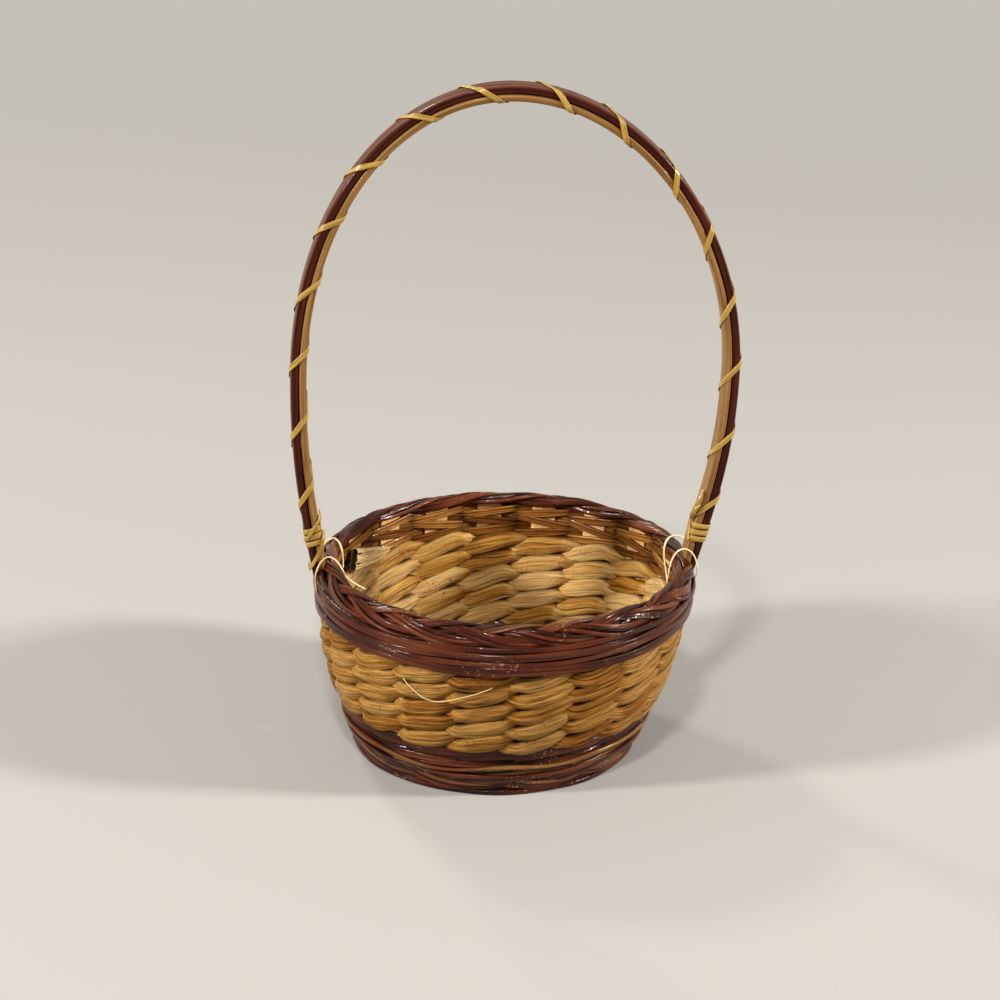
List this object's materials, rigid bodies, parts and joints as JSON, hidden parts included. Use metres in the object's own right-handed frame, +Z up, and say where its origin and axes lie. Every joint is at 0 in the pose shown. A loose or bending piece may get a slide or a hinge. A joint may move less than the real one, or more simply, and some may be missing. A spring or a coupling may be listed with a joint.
{
  "type": "wicker basket with handle",
  "caption": "Round wicker basket with twined leaf strands between dark rod bands, a plaited border and a tall bent handle wound with flat cane",
  "frame": {"origin": "On the table under the middle of the overall box, at the height of the base mat and lowest row", "axes": "+Z up; the handle lies in the XZ plane with its feet at +X and -X; the side in the picture faces -Y"},
  "size_m": [0.2686, 0.2281, 0.4096],
  "materials": {
    "dark_rod": "varnished dark red-brown rods",
    "leaf_strand": "dry golden leaf strands",
    "pale_splint": "pale flat splints",
    "base_weave": "brown woven base",
    "maroon_bow": "varnished maroon-brown cane pole",
    "tan_bow": "orange-tan split cane",
    "yellow_cane": "yellow flat cane"
  },
  "bodies": {
    "root": {"stake_01": "pale_splint", "stake_02": "pale_splint", "stake_03": "pale_splint", "stake_04": "pale_splint", "stake_05": "pale_splint", "stake_06": "pale_splint", "stake_07": "pale_splint", "stake_08": "pale_splint", "stake_09": "pale_splint", "stake_10": "pale_splint", "stake_11": "pale_splint", "stake_12": "pale_splint", "stake_13": "pale_splint", "stake_14": "pale_splint", "stake_15": "pale_splint", "stake_16": "pale_splint", "stake_17": "pale_splint", "stake_18": "pale_splint", "stake_19": "pale_splint", "foot_row_1": "dark_rod", "foot_row_2": "dark_rod", "foot_row_3": "dark_rod", "foot_row_4": "dark_rod", "upper_row_1": "dark_rod", "upper_row_2": "dark_rod", "upper_row_3": "dark_rod", "border_braid": "dark_rod", "leaf_row_1": "leaf_strand", "leaf_row_2": "leaf_strand", "leaf_row_3": "leaf_strand", "leaf_row_4": "leaf_strand", "leaf_row_5": "leaf_strand", "base_mat": "base_weave", "handle_outer_bow": "maroon_bow", "handle_inner_bow": "tan_bow", "handle_cane_winding": "yellow_cane", "cane_hoop_left_front": "yellow_cane", "cane_hoop_left_back": "yellow_cane", "cane_hoop_right_front": "yellow_cane", "cane_hoop_right_back": "yellow_cane"}
  },
  "joints": []
}
